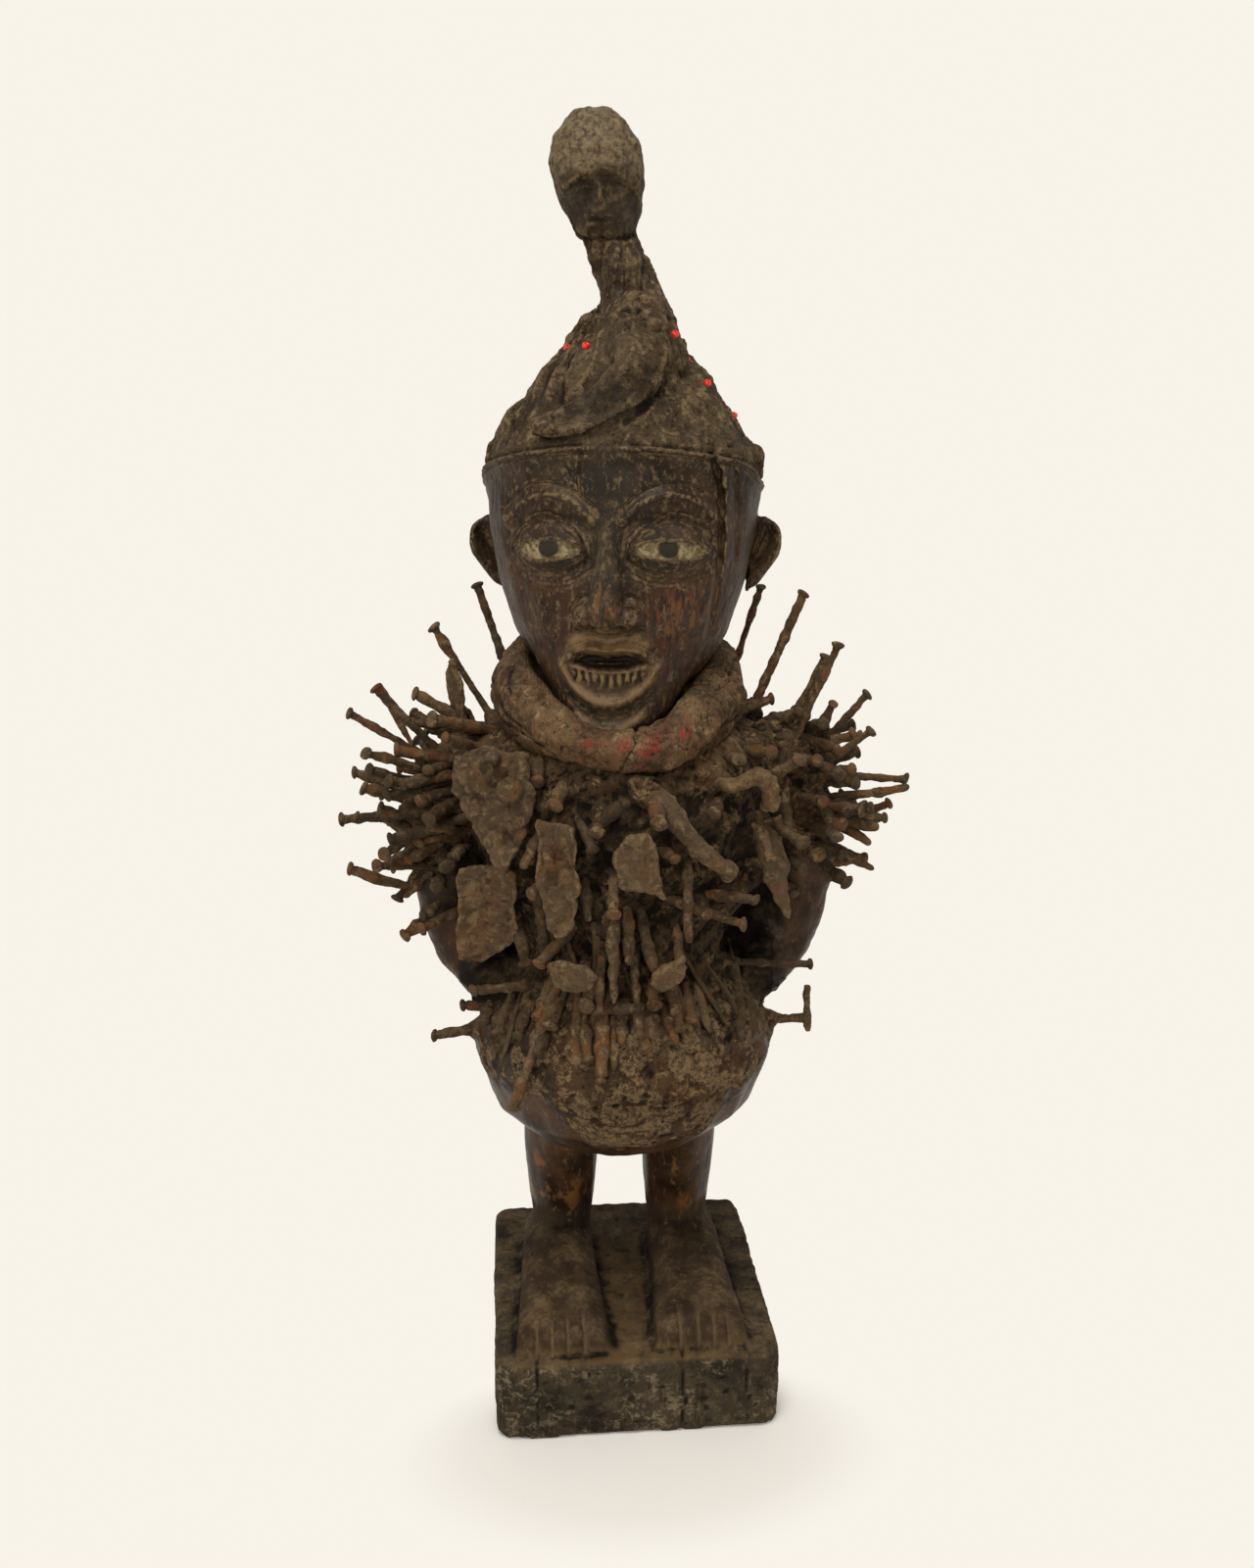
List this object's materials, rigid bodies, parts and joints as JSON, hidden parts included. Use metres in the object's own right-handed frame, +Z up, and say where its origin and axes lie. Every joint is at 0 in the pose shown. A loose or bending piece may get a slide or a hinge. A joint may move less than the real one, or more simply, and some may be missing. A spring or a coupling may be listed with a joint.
{
  "type": "nkisi nkondi power figure",
  "caption": "Carved wooden standing power figure with hands on hips, pointed cap ending in a small head, cloth neck roll, and iron nails and blades driven into its trunk and arms.",
  "frame": {"origin": "middle of the square block's underside, where the figure stands", "axes": "+Z up through the figure's height, -Y the way the figure faces, +X to the figure's left"},
  "size_m": [0.2833, 0.1651, 0.622],
  "materials": {
    "wood": "dark, crusted and worn",
    "cloth": "stiff with resin, matt",
    "iron": "rusted and dusty",
    "bead": "opaque, glossy"
  },
  "bodies": {
    "root": {"carved_figure": "wood", "neck_roll": "cloth", "nail_shoulder_1": "iron", "nail_shoulder_2": "iron", "nail_shoulder_3": "iron", "nail_shoulder_4": "iron", "nail_chest_1": "iron", "nail_chest_2": "iron", "nail_chest_3": "iron", "nail_chest_4": "iron", "nail_chest_5": "iron", "nail_belly_1": "iron", "nail_belly_2": "iron", "nail_belly_3": "iron", "nail_belly_4": "iron", "nail_belly_5": "iron", "nail_belly_6": "iron", "nail_right_arm_1": "iron", "nail_right_arm_2": "iron", "nail_right_arm_3": "iron", "nail_right_arm_4": "iron", "nail_right_arm_5": "iron", "nail_right_arm_6": "iron", "nail_right_arm_7": "iron", "nail_right_arm_8": "iron", "nail_right_arm_9": "iron", "nail_right_arm_10": "iron", "nail_left_arm_1": "iron", "nail_left_arm_2": "iron", "nail_left_arm_3": "iron", "nail_left_arm_4": "iron", "nail_left_arm_5": "iron", "nail_left_arm_6": "iron", "nail_left_arm_7": "iron", "nail_left_arm_8": "iron", "nail_left_arm_9": "iron", "nail_left_arm_10": "iron", "nail_left_arm_11": "iron", "plate_right_breast": "iron", "plate_right_waist": "iron", "plate_centre": "iron", "plate_left_breast": "iron", "disc_belly": "iron", "shell_chest": "iron", "leaf_belly": "iron", "knife_right_shoulder": "iron", "hinge_left_hip": "iron", "hook_left_breast": "iron", "horn_chest": "iron", "spike_belly": "iron", "bead_1": "bead", "bead_2": "bead", "bead_3": "bead", "bead_4": "bead", "bead_5": "bead"}
  },
  "joints": []
}
